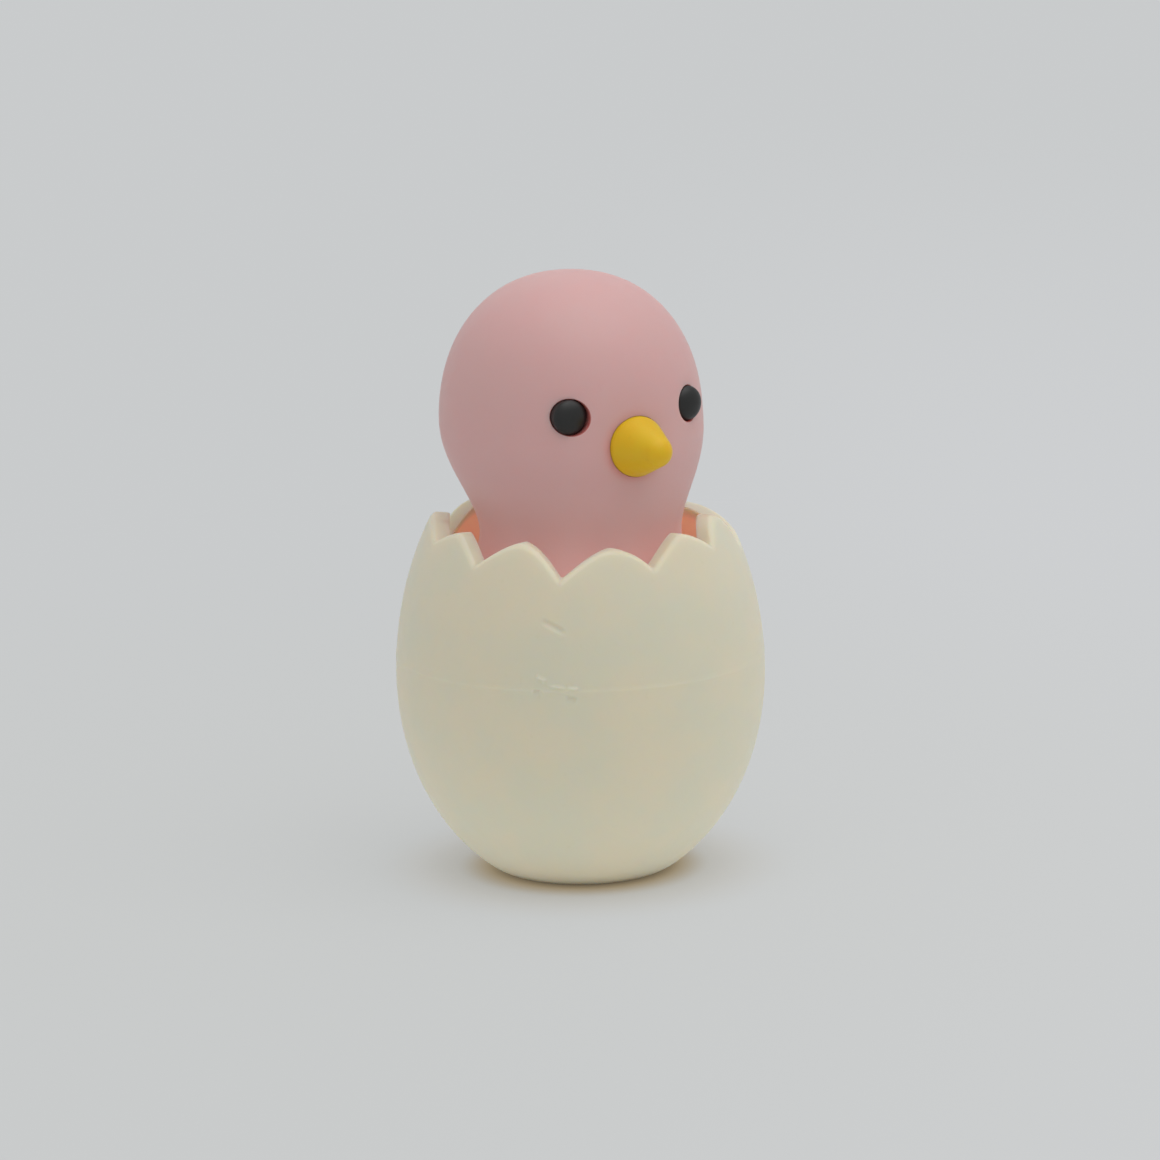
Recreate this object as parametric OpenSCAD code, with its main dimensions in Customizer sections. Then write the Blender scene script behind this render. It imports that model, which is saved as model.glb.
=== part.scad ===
// Rubber eraser in the form of a chick hatching from an egg.
// A cup shaped like a broken eggshell holds a chick, which lifts out.
// The chick carries a plugged-in beak and two plugged-in eyes.
// Millimetres. Z is up, the foot stands on Z = 0 and the chick faces -Y.

/* [Eggshell] */
// Greatest outside diameter of the eggshell
shell_diameter = 27; // [25:0.5:29]
// Height of the widest section above the table
belly_height = 14.8; // [13.8:0.2:15.8]
// Diameter of the flat foot
foot_diameter = 12.4; // [10.4:0.2:14.4]
// Outside diameter at the height of the tallest tooth
mouth_diameter = 20.9; // [20:0.1:22]
// Height of the tallest tooth of the broken rim
rim_height = 26.9; // [26.5:0.1:28.5]
// Thickness of the wall
wall_thickness = 1.25; // [1.05:0.05:1.45]
// Thickness of the floor that the chick stands on
floor_thickness = 2; // [1.6:0.1:2.6]
// Height of the mould parting line
parting_line_height = 16.2; // [11:0.2:20]
// Width of the raised parting line
parting_line_width = 0.5; // [0.3:0.05:0.8]
// How far the parting line stands out of the wall
parting_line_relief = 0.06; // [0.03:0.01:0.12]

/* [Broken rim] */
// Depth of the deepest notch below the tallest tooth
break_depth = 3.3; // [2.4:0.1:3.8]
// Softness of the tooth tips, 0 is a sharp point
tip_softness = 0.25; // [0.1:0.05:0.5]

/* [Chick] */
// Height of the whole eraser, floor to crown
overall_height = 44.1; // [42:0.1:47]
// Diameter of the head
head_diameter = 19.2; // [17.5:0.1:20]
// Height of the widest section of the head
head_height = 33.1; // [32:0.1:34.6]
// Roundness of the crown, 2 is an ellipse
crown_roundness = 2.2; // [1.9:0.01:2.6]
// How far the head leans back from the axis of the cup
head_setback = 0.8; // [0:0.1:1.2]
// Smallest diameter of the neck
neck_diameter = 14.7; // [13.4:0.1:15.6]
// Height of the smallest section of the neck
neck_height = 25.3; // [24.3:0.1:26.3]
// How far the neck stands forward of the axis of the cup
neck_forward = 0.3; // [0:0.1:0.8]
// Gap all round between the hidden body and the inside of the cup
body_gap = 1.2; // [0.8:0.1:1.8]

/* [Eyes] */
// Diameter of an eye plug
eye_diameter = 2.54; // [2.2:0.02:3]
// Distance between the two eyes
eye_spacing = 9.9; // [8.8:0.1:11]
// Height of the eyes above the table
eye_height = 35; // [33.8:0.1:36]
// Angle by which each eye plug turns outwards
eye_splay = 8; // [0:1:16]
// Length of an eye plug below its dome
eye_plug_length = 4; // [3:0.1:4.6]
// Height of the domed end of an eye
eye_dome_height = 0.7; // [0.4:0.05:1]
// How far the edge of the dome lies below the skin
eye_inset = 0.24; // [0:0.02:0.4]

/* [Beak] */
// Diameter of the beak and of its plug
beak_diameter = 4.35; // [3.8:0.05:4.8]
// How far the beak sits off the middle of the face, plus is to the chick's left
beak_offset = -0.3; // [-0.5:0.05:0.5]
// Height of the beak above the table
beak_height = 32.65; // [31.6:0.05:33.2]
// Distance from the skin to the point of the beak
beak_length = 3.45; // [3:0.05:4.4]
// Radius of the blunt point
beak_point_radius = 1.15; // [0.8:0.05:1.4]
// Length of the beak plug inside the head
beak_plug_length = 3.2; // [2.4:0.1:4]

/* [Fits] */
// Gap round each plug in its socket
plug_clearance = 0.06; // [0.02:0.01:0.1]
// Gap behind each plug at the bottom of its socket
socket_end_gap = 0.15; // [0.1:0.05:0.3]

/* [Hidden] */

shell_radius = shell_diameter / 2;
head_radius = head_diameter / 2;
neck_radius = neck_diameter / 2;
beak_radius = beak_diameter / 2;
eye_radius = eye_diameter / 2;

// The shell's outside is two half ovals that meet at the belly. The lower one
// is cut by the foot, the upper one by the mouth.
lower_roundness = 2.05;
upper_roundness = 1.95;
lower_span = belly_height
    / pow(1 - pow(foot_diameter / shell_diameter, lower_roundness), 1 / lower_roundness);
upper_span = (rim_height - belly_height)
    / pow(1 - pow(mouth_diameter / shell_diameter, upper_roundness), 1 / upper_roundness);

// Value of a half oval of this radius at a height u, with u = 1 at its pole
function oval(radius, u, roundness) =
    radius * pow(max(0, 1 - pow(u, roundness)), 1 / roundness);

function outer_radius(z) =
    z > belly_height
        ? oval(shell_radius, (z - belly_height) / upper_span, upper_roundness)
        : oval(shell_radius, (belly_height - z) / lower_span, lower_roundness);

// The wall keeps its thickness square to the curve of the outside.
function wall_slope(z) = (outer_radius(z + 0.05) - outer_radius(z - 0.05)) / 0.1;
function inner_radius(z) =
    outer_radius(z) - wall_thickness * sqrt(1 + pow(wall_slope(z), 2));

blank_top = rim_height + 0.5;
outer_steps = 26;
inner_steps = 20;

// Heights crowd towards the foot, where the curve is tightest.
function step_height(i, steps, low, high) = low + (high - low) * pow(i / steps, 1.35);

// Teeth of the broken rim, going round from the chick's right hand side. Each
// row holds a tooth's azimuth from -Y towards +X, the drop of its tip as a
// share of the break depth, the curves of its left and right flanks (1 is
// straight, 2 is round, 3 is square shouldered), and then the azimuth and the
// drop of the notch that follows it.
teeth = [
    [-124, 0.10, 2.1, 2.4, -99, 0.46],
    [-85, 0.17, 1.15, 1.25, -71.3, 0.72],
    [-54, 0.20, 1.25, 1.8, -38, 0.92],
    [-19.5, 0.34, 1.4, 2.3, -4.2, 0.77],
    [11.5, 0.18, 1.1, 1.5, 26.3, 0.54],
    [38, 0.00, 2.4, 2.2, 53, 0.83],
    [101, 0.34, 1.3, 1.8, 119, 0.72],
    [134, 0.21, 1.6, 2.0, 150, 0.73],
    [165, 0.15, 1.3, 1.9, 181, 0.79],
    [197, 0.20, 1.6, 2.2, 212.5, 0.95]
];

// Radius at the middle of the wall where the notches are
break_height = rim_height - break_depth / 2;
break_radius = outer_radius(break_height) - wall_thickness / 2;
flank_steps = 8;
tip_margin = 0.6;

// Share of a flank's drop at a share t of its width from the tip
function flank(t, curve) =
    (pow(t * t + tip_softness * tip_softness, curve / 2) - pow(tip_softness, curve))
    / (pow(1 + tip_softness * tip_softness, curve / 2) - pow(tip_softness, curve));

// One flank from the tip down towards the notch at 0, on side -1 or 1
function flank_points(side, width, tip_z, notch_z, curve) = [
    for (i = [0 : flank_steps - 1])
        let (t = i / flank_steps)
        [side * width * (1 - t), tip_z - (tip_z - notch_z) * flank(t, curve)]
];

function reversed(list) = [for (i = [len(list) - 1 : -1 : 0]) list[i]];

// Angle from one azimuth forward to another
function turn(from, to) = (to - from + 720) % 360;

// The notch after tooth i, cut square through the wall from tip to tip
module notch(i) {
    row = teeth[i];
    after = teeth[(i + 1) % len(teeth)];
    notch_z = rim_height - row[5] * break_depth;
    left_z = rim_height - row[1] * break_depth;
    right_z = rim_height - after[1] * break_depth;
    left_width = break_radius * sin(turn(row[0], row[4]));
    right_width = break_radius * sin(turn(row[4], after[0]));
    left = flank_points(-1, left_width, left_z, notch_z, row[3]);
    right = flank_points(1, right_width, right_z, notch_z, after[2]);
    outline = concat(
        [[-left_width - tip_margin, blank_top + 1]],
        [[-left_width - tip_margin, left_z + 0.02]],
        left,
        [[0, notch_z]],
        reversed(right),
        [[right_width + tip_margin, right_z + 0.01]],
        [[right_width + tip_margin, blank_top + 1]]
    );
    near = shell_radius * 0.4;
    rotate([0, 0, row[4]])
        translate([0, -near, 0])
            rotate([90, 0, 0])
                linear_extrude(height = shell_radius + 1 - near)
                    polygon(outline);
}

module shell_blank() {
    outside = [
        for (i = [0 : outer_steps])
            let (z = step_height(i, outer_steps, 0, blank_top))
            if (abs(z - parting_line_height) > parting_line_width / 2 + 0.15)
            [outer_radius(z), z]
    ];
    line = [
        for (k = [-1 : 1])
            let (z = parting_line_height + k * parting_line_width / 2)
            [outer_radius(z) + (k == 0 ? parting_line_relief : 0), z]
    ];
    below_line = [for (p = outside) if (p[1] < parting_line_height) p];
    above_line = [for (p = outside) if (p[1] > parting_line_height) p];
    inside = [
        for (i = [0 : inner_steps])
            let (z = step_height(i, inner_steps, floor_thickness, blank_top))
            [inner_radius(z), z]
    ];
    rotate_extrude($fn = 96)
        polygon(concat(
            [[0, 0]],
            below_line,
            line,
            above_line,
            reversed(inside),
            [[0, floor_thickness]]
        ));
}

module egg_shell() {
    color("cornsilk")
        difference() {
            shell_blank();
            for (i = [0 : len(teeth) - 1]) {
                notch(i);
            }
        }
}

// The chick is lofted through level rings. Its head is an oval crown over a
// round draw down to the neck. The body below, out of sight in the cup,
// follows the inside of the shell at an even gap and stands on its floor.
seat_height = floor_thickness;
body_height = seat_height + 14.6;
lean_top = head_height + 1.2;
foot_fillet = 0.8;
body_radius = inner_radius(body_height) - body_gap;

function ease(t) = t * t * (3 - 2 * t);
function share(z, low, high) = min(1, max(0, (z - low) / (high - low)));
function blend(a, b, t) = a + (b - a) * ease(t);
function draw_down(t) = pow(1 - pow(1 - t, 2), 2);

function base_radius(z) =
    inner_radius(z) - body_gap
    - foot_fillet * (1 - sqrt(1 - pow(1 - share(z, seat_height, seat_height + foot_fillet), 2)));

function chick_radius(z) =
    z > head_height ? oval(head_radius, share(z, head_height, overall_height), crown_roundness)
    : z > neck_height ? neck_radius
        + (head_radius - neck_radius) * draw_down(share(z, neck_height, head_height))
    : z > body_height ? blend(body_radius, neck_radius, share(z, body_height, neck_height))
    : base_radius(z);

// Forward shift of a ring, towards -Y
function chick_forward(z) =
    z > neck_height ? blend(neck_forward, -head_setback, share(z, neck_height, lean_top))
    : blend(0, neck_forward, share(z, body_height, neck_height));

ring_sides = 56;
crown_rings = 12;
neck_rings = 11;
shoulder_rings = 9;
foot_rings = 8;

// Ring heights crowd towards the crown's pole and the foot's edge.
ring_heights = concat(
    [for (i = [0 : foot_rings - 1]) seat_height + (body_height - seat_height) * pow(i / foot_rings, 2)],
    [for (i = [0 : shoulder_rings - 1]) body_height + (neck_height - body_height) * i / shoulder_rings],
    [for (i = [0 : neck_rings - 1]) neck_height + (head_height - neck_height) * i / neck_rings],
    [for (i = [0 : crown_rings - 1]) head_height + (overall_height - head_height) * sin(90 * i / crown_rings)]
);
ring_count = len(ring_heights);

function ring(z) = [
    for (k = [0 : ring_sides - 1])
        let (a = 360 * k / ring_sides)
        [chick_radius(z) * sin(a), -chick_forward(z) - chick_radius(z) * cos(a), z]
];

module chick_form() {
    points = concat(
        [for (z = ring_heights) each ring(z)],
        [[0, -chick_forward(overall_height), overall_height], [0, 0, seat_height]]
    );
    crown = ring_count * ring_sides;
    floor_centre = crown + 1;
    sides = [
        for (j = [0 : ring_count - 2], k = [0 : ring_sides - 1])
            let (
                a = j * ring_sides + k,
                b = j * ring_sides + (k + 1) % ring_sides,
                c = b + ring_sides,
                d = a + ring_sides
            )
            each [[a, c, b], [a, d, c]]
    ];
    top = [
        for (k = [0 : ring_sides - 1])
            let (last = (ring_count - 1) * ring_sides)
            [last + k, crown, last + (k + 1) % ring_sides]
    ];
    bottom = [
        for (k = [0 : ring_sides - 1])
            [k, (k + 1) % ring_sides, floor_centre]
    ];
    polyhedron(points = points, faces = concat(sides, top, bottom), convexity = 4);
}

// Y of the skin in front of the axis, at a side distance x and a height z
function skin_y(x, z) = -chick_forward(z) - sqrt(pow(chick_radius(z), 2) - x * x);

// Puts a plug's own axes on the skin: its Z points out of the head
module at_beak() {
    translate([beak_offset, skin_y(beak_offset, beak_height), beak_height])
        rotate([90, 0, 0])
            children();
}

// Side 1 is the chick's left, towards +X, and -1 its right
module at_eye(side) {
    translate([side * eye_spacing / 2, skin_y(eye_spacing / 2, eye_height), eye_height])
        rotate([0, 0, side * eye_splay])
            rotate([90, 0, 0])
                children();
}

module socket(radius, depth) {
    translate([0, 0, -depth - socket_end_gap])
        cylinder(r = radius + plug_clearance, h = depth + socket_end_gap + radius * 2, $fn = 64);
}

module chick_body() {
    color("pink")
        difference() {
            chick_form();
            at_beak()
                socket(beak_radius, beak_plug_length);
            at_eye(1)
                socket(eye_radius, eye_inset + eye_plug_length);
            at_eye(-1)
                socket(eye_radius, eye_inset + eye_plug_length);
        }
}

// The beak is a round plug drawn forward to a blunt point. Its sides run
// straight from the edge of the plug and touch the round of the point.
module beak() {
    point_centre = beak_length - beak_point_radius;
    lean = atan(beak_radius / point_centre)
        - asin(beak_point_radius / norm([point_centre, beak_radius]));
    edge_break = 0.3;
    point = [
        for (i = [0 : 6])
            let (a = lean + (90 - lean) * i / 6)
            [i == 6 ? 0 : beak_point_radius * cos(a), point_centre + beak_point_radius * sin(a)]
    ];
    color("gold")
        at_beak()
            rotate_extrude($fn = 72)
                polygon(concat(
                    [[0, -beak_plug_length], [beak_radius - edge_break, -beak_plug_length]],
                    [[beak_radius, -beak_plug_length + edge_break], [beak_radius, 0]],
                    point
                ));
}

// An eye is a round plug with a low dome.
module eye(side) {
    edge_break = 0.25;
    low = -eye_inset - eye_plug_length;
    dome = [
        for (i = [0 : 8])
            let (a = 90 * i / 8)
            [i == 8 ? 0 : eye_radius * cos(a), -eye_inset + eye_dome_height * sin(a)]
    ];
    color("dimgray")
        at_eye(side)
            rotate_extrude($fn = 72)
                polygon(concat(
                    [[0, low], [eye_radius - edge_break, low], [eye_radius, low + edge_break]],
                    dome
                ));
}

module left_eye() {
    eye(1);
}

module right_eye() {
    eye(-1);
}

egg_shell();
chick_body();
beak();
left_eye();
right_eye();
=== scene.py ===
"""Visual model of a rubber eraser: a chick that stands in a broken eggshell.

The pieces are worked out in millimetres and turned into metres when their
meshes are finished. Z is up, the foot stands on Z = 0 and the chick faces -Y.
"""

import logging
import math
from collections.abc import Callable
from dataclasses import dataclass, field
from enum import Enum

import bmesh
import bpy
from mathutils import Matrix, Vector


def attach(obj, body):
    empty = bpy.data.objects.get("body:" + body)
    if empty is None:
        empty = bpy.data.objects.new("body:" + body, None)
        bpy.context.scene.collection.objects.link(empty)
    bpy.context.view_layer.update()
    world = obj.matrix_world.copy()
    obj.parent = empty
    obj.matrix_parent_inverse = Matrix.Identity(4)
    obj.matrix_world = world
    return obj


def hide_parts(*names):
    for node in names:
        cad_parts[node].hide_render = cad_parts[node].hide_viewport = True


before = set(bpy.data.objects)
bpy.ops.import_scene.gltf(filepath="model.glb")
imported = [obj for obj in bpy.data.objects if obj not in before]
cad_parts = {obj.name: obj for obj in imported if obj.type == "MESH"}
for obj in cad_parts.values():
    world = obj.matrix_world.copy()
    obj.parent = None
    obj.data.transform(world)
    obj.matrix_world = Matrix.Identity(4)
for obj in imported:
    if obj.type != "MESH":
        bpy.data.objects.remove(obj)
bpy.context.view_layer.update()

LOG = logging.getLogger("eraser")
MM = 0.001
BODY = "root"
# Skin deeper than this behind a socket's mouth is on the back of the head.
FRONT_DEPTH = -3.0
# Points of a revolved surface that are nearer than this are one point.
SAME_POINT = 1e-4

Colour = tuple[float, float, float]
Point = tuple[float, float]
Feed = bpy.types.NodeSocket | float | tuple[float, ...]


class Side(Enum):
    """The two sides of the chick, as the sign of X."""

    LEFT = 1
    RIGHT = -1


def linear(colour: Colour) -> tuple[float, float, float, float]:
    """Turns a colour as a screen shows it into the shader's linear one.

    Args:
        colour: Red, green and blue from 0 to 1, in display values.

    Returns:
        The linear colour with an alpha of 1.
    """
    parts = [c / 12.92 if c <= 0.04045 else ((c + 0.055) / 1.055) ** 2.4 for c in colour]
    return (*parts, 1.0)


def share(value: float, low: float, high: float) -> float:
    """Returns where a value lies between two others, from 0 to 1."""
    return min(1.0, max(0.0, (value - low) / (high - low)))


def blend(first: float, last: float, amount: float) -> float:
    """Goes from the first value to the last one with level ends."""
    return first + (last - first) * amount * amount * (3 - 2 * amount)


def oval(radius: float, height: float, roundness: float) -> float:
    """Radius of a half oval at a height from 0 at its widest to 1 at its pole."""
    return radius * max(0.0, 1 - max(0.0, height) ** roundness) ** (1 / roundness)


def steps(low: float, high: float, count: int) -> list[float]:
    """Returns evenly spaced values from low up to, but without, high."""
    return [low + (high - low) * i / count for i in range(count)]


def banded(*bands: tuple[float, int]) -> list[float]:
    """Returns levels through bands, each given as its start and its number of steps."""
    pairs = zip(bands, bands[1:])
    return [level for (low, count), (high, _) in pairs for level in steps(low, high, count)]


def bow(start: Point, corner: Point, end: Point, count: int) -> list[Point]:
    """Draws a curve that rounds off a corner.

    Args:
        start: First point, which the curve leaves towards the corner.
        corner: The corner.
        end: Last point, at which the curve comes from the corner.
        count: Number of steps.

    Returns:
        The points, with both ends.
    """
    return [
        tuple(
            (1 - t) ** 2 * a + 2 * t * (1 - t) * b + t * t * c
            for a, b, c in zip(start, corner, end)
        )
        for t in [i / count for i in range(count + 1)]
    ]


def plug_end(radius: float, low: float, edge: float, flat: float, rings: int) -> list[Point]:
    """Draws the end of a plug that points down, with a rounded edge.

    Args:
        radius: Radius of the plug.
        low: Height of its end.
        edge: Radius of the rounding.
        flat: Radius of the innermost ring.
        rings: Number of rings on the flat of the end.

    Returns:
        The points from the axis to the plug's side.
    """
    points: list[Point] = [(0.0, low)]
    points += [(r, low) for r in steps(flat, radius - edge, rings)]
    for degrees in (0.0, 22.5, 45.0, 67.5, 90.0):
        turn = math.radians(degrees)
        points.append((radius - edge * (1 - math.sin(turn)), low + edge * (1 - math.cos(turn))))
    return points


def azimuth_of(x: float, y: float) -> float:
    """Returns a place's azimuth in degrees, from -Y towards +X."""
    return math.degrees(math.atan2(x, -y))


def revolve(mesh: bmesh.types.BMesh, profile: list[Point], sides: int) -> None:
    """Turns a profile round the Z axis into a closed surface of revolution.

    Args:
        mesh: The empty mesh to build in.
        profile: Radius and height of each point, both ends on the axis.
        sides: Number of steps round the axis, a multiple of eight.
    """
    verts = [mesh.verts.new((radius, 0.0, height)) for radius, height in profile]
    edges = [mesh.edges.new(pair) for pair in zip(verts, verts[1:])]
    wedge = math.tau / 8
    bmesh.ops.spin(
        mesh, geom=verts + edges, cent=(0, 0, 0), axis=(0, 0, 1),
        angle=wedge, steps=sides // 8, use_merge=False, use_duplicate=False,
    )
    for turn in (wedge, 2 * wedge, 4 * wedge):
        whole = mesh.verts[:] + mesh.edges[:] + mesh.faces[:]
        copied = bmesh.ops.duplicate(mesh, geom=whole)["geom"]
        moved = [part for part in copied if isinstance(part, bmesh.types.BMVert)]
        bmesh.ops.rotate(mesh, cent=(0, 0, 0), matrix=Matrix.Rotation(turn, 3, "Z"), verts=moved)
    bmesh.ops.remove_doubles(mesh, verts=mesh.verts[:], dist=SAME_POINT)
    bmesh.ops.recalc_face_normals(mesh, faces=mesh.faces[:])


def show(name: str, data: bpy.types.ID) -> bpy.types.Object:
    """Adds an object to the scene.

    Args:
        name: Its name.
        data: Its mesh, camera or lamp.

    Returns:
        The new object.
    """
    shown = bpy.data.objects.new(name, data)
    bpy.context.scene.collection.objects.link(shown)
    return shown


class NodeBench:
    """Lays out the nodes of one material or node group from left to right."""

    COLUMN_WIDTH = 220
    # The Mix node has sockets for each type of data, and these are the colour's.
    MIX_INPUTS = (0, 6, 7)
    MIX_RESULT = 2
    NOISE_ROUGHNESS = 0.55

    def __init__(self, tree: bpy.types.NodeTree) -> None:
        """Starts on an emptied tree.

        Args:
            tree: The node tree of a material, a world or a group.
        """
        self.tree = tree
        self.tree.nodes.clear()
        self.column = 0

    def add(
        self, kind: str, inputs: dict[str | int, Feed] | None = None, **settings: object
    ) -> bpy.types.Node:
        """Adds a node.

        Args:
            kind: The node's type name.
            inputs: A socket to link or a constant to set, by the input's name or number.
            **settings: The node's properties by name.

        Returns:
            The new node.
        """
        node = self.tree.nodes.new(kind)
        node.location = (self.COLUMN_WIDTH * self.column, 0)
        self.column += 1
        for key, value in settings.items():
            setattr(node, key, value)
        for key, value in (inputs or {}).items():
            if isinstance(value, bpy.types.NodeSocket):
                self.tree.links.new(value, node.inputs[key])
            else:
                node.inputs[key].default_value = value
        return node

    def maths(self, operation: str, *values: Feed) -> bpy.types.NodeSocket:
        """Combines two or more values by Math nodes, from the first to the last.

        Args:
            operation: The nodes' operation.
            *values: Sockets or numbers.

        Returns:
            The result.
        """
        result, *others = values
        for value in others:
            result = self.add(
                "ShaderNodeMath", {0: result, 1: value}, operation=operation
            ).outputs[0]
        return result

    def spread(
        self, value: bpy.types.NodeSocket, low: float, high: float,
        to_low: float = 0.0, to_high: float = 1.0,
    ) -> bpy.types.NodeSocket:
        """Maps a value from one range to another and clamps it.

        Args:
            value: The socket to map.
            low: Value that becomes to_low.
            high: Value that becomes to_high.
            to_low: Result at low.
            to_high: Result at high.

        Returns:
            The mapped output.
        """
        return self.add("ShaderNodeMapRange", {
            "Value": value, "From Min": low, "From Max": high, "To Min": to_low, "To Max": to_high,
        }, interpolation_type="SMOOTHSTEP").outputs["Result"]

    def mix(
        self, amount: bpy.types.NodeSocket, first: Feed, second: Feed
    ) -> bpy.types.NodeSocket:
        """Mixes two colours.

        Args:
            amount: The share of the second colour.
            first: A socket or a display colour.
            second: A socket or a display colour.

        Returns:
            The mixed colour.
        """
        colours = [
            value if isinstance(value, bpy.types.NodeSocket) else linear(value)
            for value in (first, second)
        ]
        inputs = dict(zip(self.MIX_INPUTS, (amount, *colours)))
        return self.add("ShaderNodeMix", inputs, data_type="RGBA").outputs[self.MIX_RESULT]

    def noise(
        self, vector: bpy.types.NodeSocket, scale: Feed, detail: float
    ) -> bpy.types.NodeSocket:
        """Adds a noise texture.

        Args:
            vector: Where it is read.
            scale: A socket or a number, in waves a metre.
            detail: Number of finer octaves.

        Returns:
            The noise from 0 to 1.
        """
        return self.add("ShaderNodeTexNoise", {
            "Vector": vector, "Scale": scale, "Detail": detail, "Roughness": self.NOISE_ROUGHNESS,
        }).outputs[0]


def rubber_skin_group() -> bpy.types.NodeTree:
    """Builds the shared group for the skin of moulded rubber.

    Returns:
        A group that takes a position and sizes in millimetres, and puts out a
        slow drift of tone, a mask of rubbed places, a mask of fine specks and
        the height of the grain.
    """
    group = bpy.data.node_groups.new("moulded_rubber_skin", "ShaderNodeTree")
    face = group.interface
    face.new_socket("Vector", in_out="INPUT", socket_type="NodeSocketVector")
    for label, size in (("Grain Size", 0.16), ("Drift Size", 4.0), ("Speck Size", 0.5)):
        face.new_socket(label, in_out="INPUT", socket_type="NodeSocketFloat").default_value = size
    for label in ("Drift", "Rubbed", "Specks", "Height"):
        face.new_socket(label, in_out="OUTPUT", socket_type="NodeSocketFloat")
    bench = NodeBench(group)
    given = bench.add("NodeGroupInput")
    where = given.outputs["Vector"]
    waves = {
        label: bench.maths("DIVIDE", 1 / MM, given.outputs[label])
        for label in ("Grain Size", "Drift Size", "Speck Size")
    }
    grain = bench.noise(where, waves["Grain Size"], 2.0)
    swell = bench.noise(where, bench.maths("MULTIPLY", waves["Grain Size"], 0.13), 2.0)
    drift = bench.noise(where, waves["Drift Size"], 3.0)
    rubbed = bench.noise(where, bench.maths("MULTIPLY", waves["Drift Size"], 2.3), 4.0)
    specks = bench.noise(where, waves["Speck Size"], 1.0)
    height = bench.maths("ADD", grain, bench.maths("MULTIPLY", swell, 2.2))
    bench.add("NodeGroupOutput", {
        "Drift": bench.spread(drift, 0.3, 0.7),
        "Rubbed": bench.spread(rubbed, 0.38, 0.68),
        "Specks": bench.spread(specks, 0.7, 0.78),
        "Height": height,
    })
    return group


@dataclass(frozen=True)
class RubberFinish:
    """One colour of matt moulded rubber, in display values and millimetres.

    Masks are attributes of the mesh, each with the colour that it brings in.
    The one that glow_mask names glows as well.
    """

    name: str
    slot: str
    colour: Colour
    drift_colour: Colour
    speck_colour: Colour
    speck_share: float = 0.25
    roughness: float = 0.55
    rubbed_roughness: float = 0.46
    grain_size: float = 0.16
    grain_depth: float = 0.006
    drift_size: float = 4.0
    scatter: float = 0.6
    scatter_radius: Colour = (1.0, 0.6, 0.4)
    scatter_depth: float = 0.8
    gloss: float = 0.35
    masks: tuple[tuple[str, Colour], ...] = ()
    glow_mask: str = ""
    glow: Colour = (0.0, 0.0, 0.0)

    def build(self, skin: bpy.types.NodeTree) -> bpy.types.Material:
        """Builds the material.

        Args:
            skin: The shared group for the skin of moulded rubber.

        Returns:
            The material.
        """
        material = bpy.data.materials.new(self.name)
        material.use_nodes = True
        bench = NodeBench(material.node_tree)
        surface = bench.add("ShaderNodeGroup", {
            "Vector": bench.add("ShaderNodeTexCoord").outputs["Object"],
            "Grain Size": self.grain_size, "Drift Size": self.drift_size,
        }, node_tree=skin).outputs
        colour = bench.mix(surface["Drift"], self.colour, self.drift_colour)
        specks = bench.maths("MULTIPLY", surface["Specks"], self.speck_share)
        colour = bench.mix(specks, colour, self.speck_colour)
        glow = {}
        for attribute, mask_colour in self.masks:
            mask = bench.add("ShaderNodeAttribute", attribute_name=attribute).outputs["Fac"]
            colour = bench.mix(mask, colour, mask_colour)
            if attribute == self.glow_mask:
                lit = bench.mix(mask, (0.0, 0.0, 0.0), self.glow)
                glow = {"Emission Color": lit, "Emission Strength": 1.0}
                material.cycles.emission_sampling = "NONE"
        bump = bench.add("ShaderNodeBump", {
            "Distance": self.grain_depth * MM, "Height": surface["Height"],
        })
        shader = bench.add("ShaderNodeBsdfPrincipled", {
            "Base Color": colour,
            "Roughness": bench.spread(
                surface["Rubbed"], 0.0, 1.0, self.roughness, self.rubbed_roughness
            ),
            "Normal": bump.outputs["Normal"],
            "Subsurface Weight": self.scatter,
            "Subsurface Radius": self.scatter_radius,
            "Subsurface Scale": self.scatter_depth * MM,
            "Specular IOR Level": self.gloss,
            **glow,
        })
        bench.add("ShaderNodeOutputMaterial", {"Surface": shader.outputs["BSDF"]})
        return material


IVORY = RubberFinish(
    name="ivory_rubber", slot="shell_rubber",
    colour=(0.845, 0.82, 0.733), drift_colour=(0.825, 0.818, 0.742),
    speck_colour=(0.78, 0.76, 0.64), speck_share=0.12,
    roughness=0.56, rubbed_roughness=0.48, drift_size=5.0,
    scatter=1.0, scatter_radius=(1.0, 0.75, 0.5), scatter_depth=1.5,
    # The second mask darkens two small spots near the tops of two teeth.
    masks=(("painted_inner_glow", (1.0, 0.86, 0.74)), ("dark_spot", (0.72, 0.58, 0.51))),
    # The inside's mask paints light: a lighter, warmer colour and a glow in place of light through
    # the wall.
    glow_mask="painted_inner_glow", glow=(0.32, 0.22, 0.18),
)
PINK = RubberFinish(
    name="pink_rubber", slot="chick_rubber",
    colour=(0.822, 0.652, 0.647), drift_colour=(0.817, 0.66, 0.652),
    speck_colour=(0.8, 0.6, 0.59), speck_share=0.1,
    roughness=0.55, rubbed_roughness=0.47, drift_size=6.0,
    scatter=0.7, scatter_radius=(1.0, 0.55, 0.45), scatter_depth=1.1,
    masks=(
        # Second on the next line: painted shade round the beak, darker red, strongest below it on
        # the -X side.
        ("painted_body_glow", (0.865, 0.69, 0.67)), ("painted_beak_shade", (0.86, 0.55, 0.52)),
        # Painted shade: dark red on the socket walls and their rounded edges.
        ("painted_socket_shade", (0.72, 0.4, 0.38)),
    ),
    # The low body's mask paints light: a lighter colour and a glow in place of light through the
    # shell.
    glow_mask="painted_body_glow", glow=(0.315, 0.29, 0.29),
)
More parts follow.
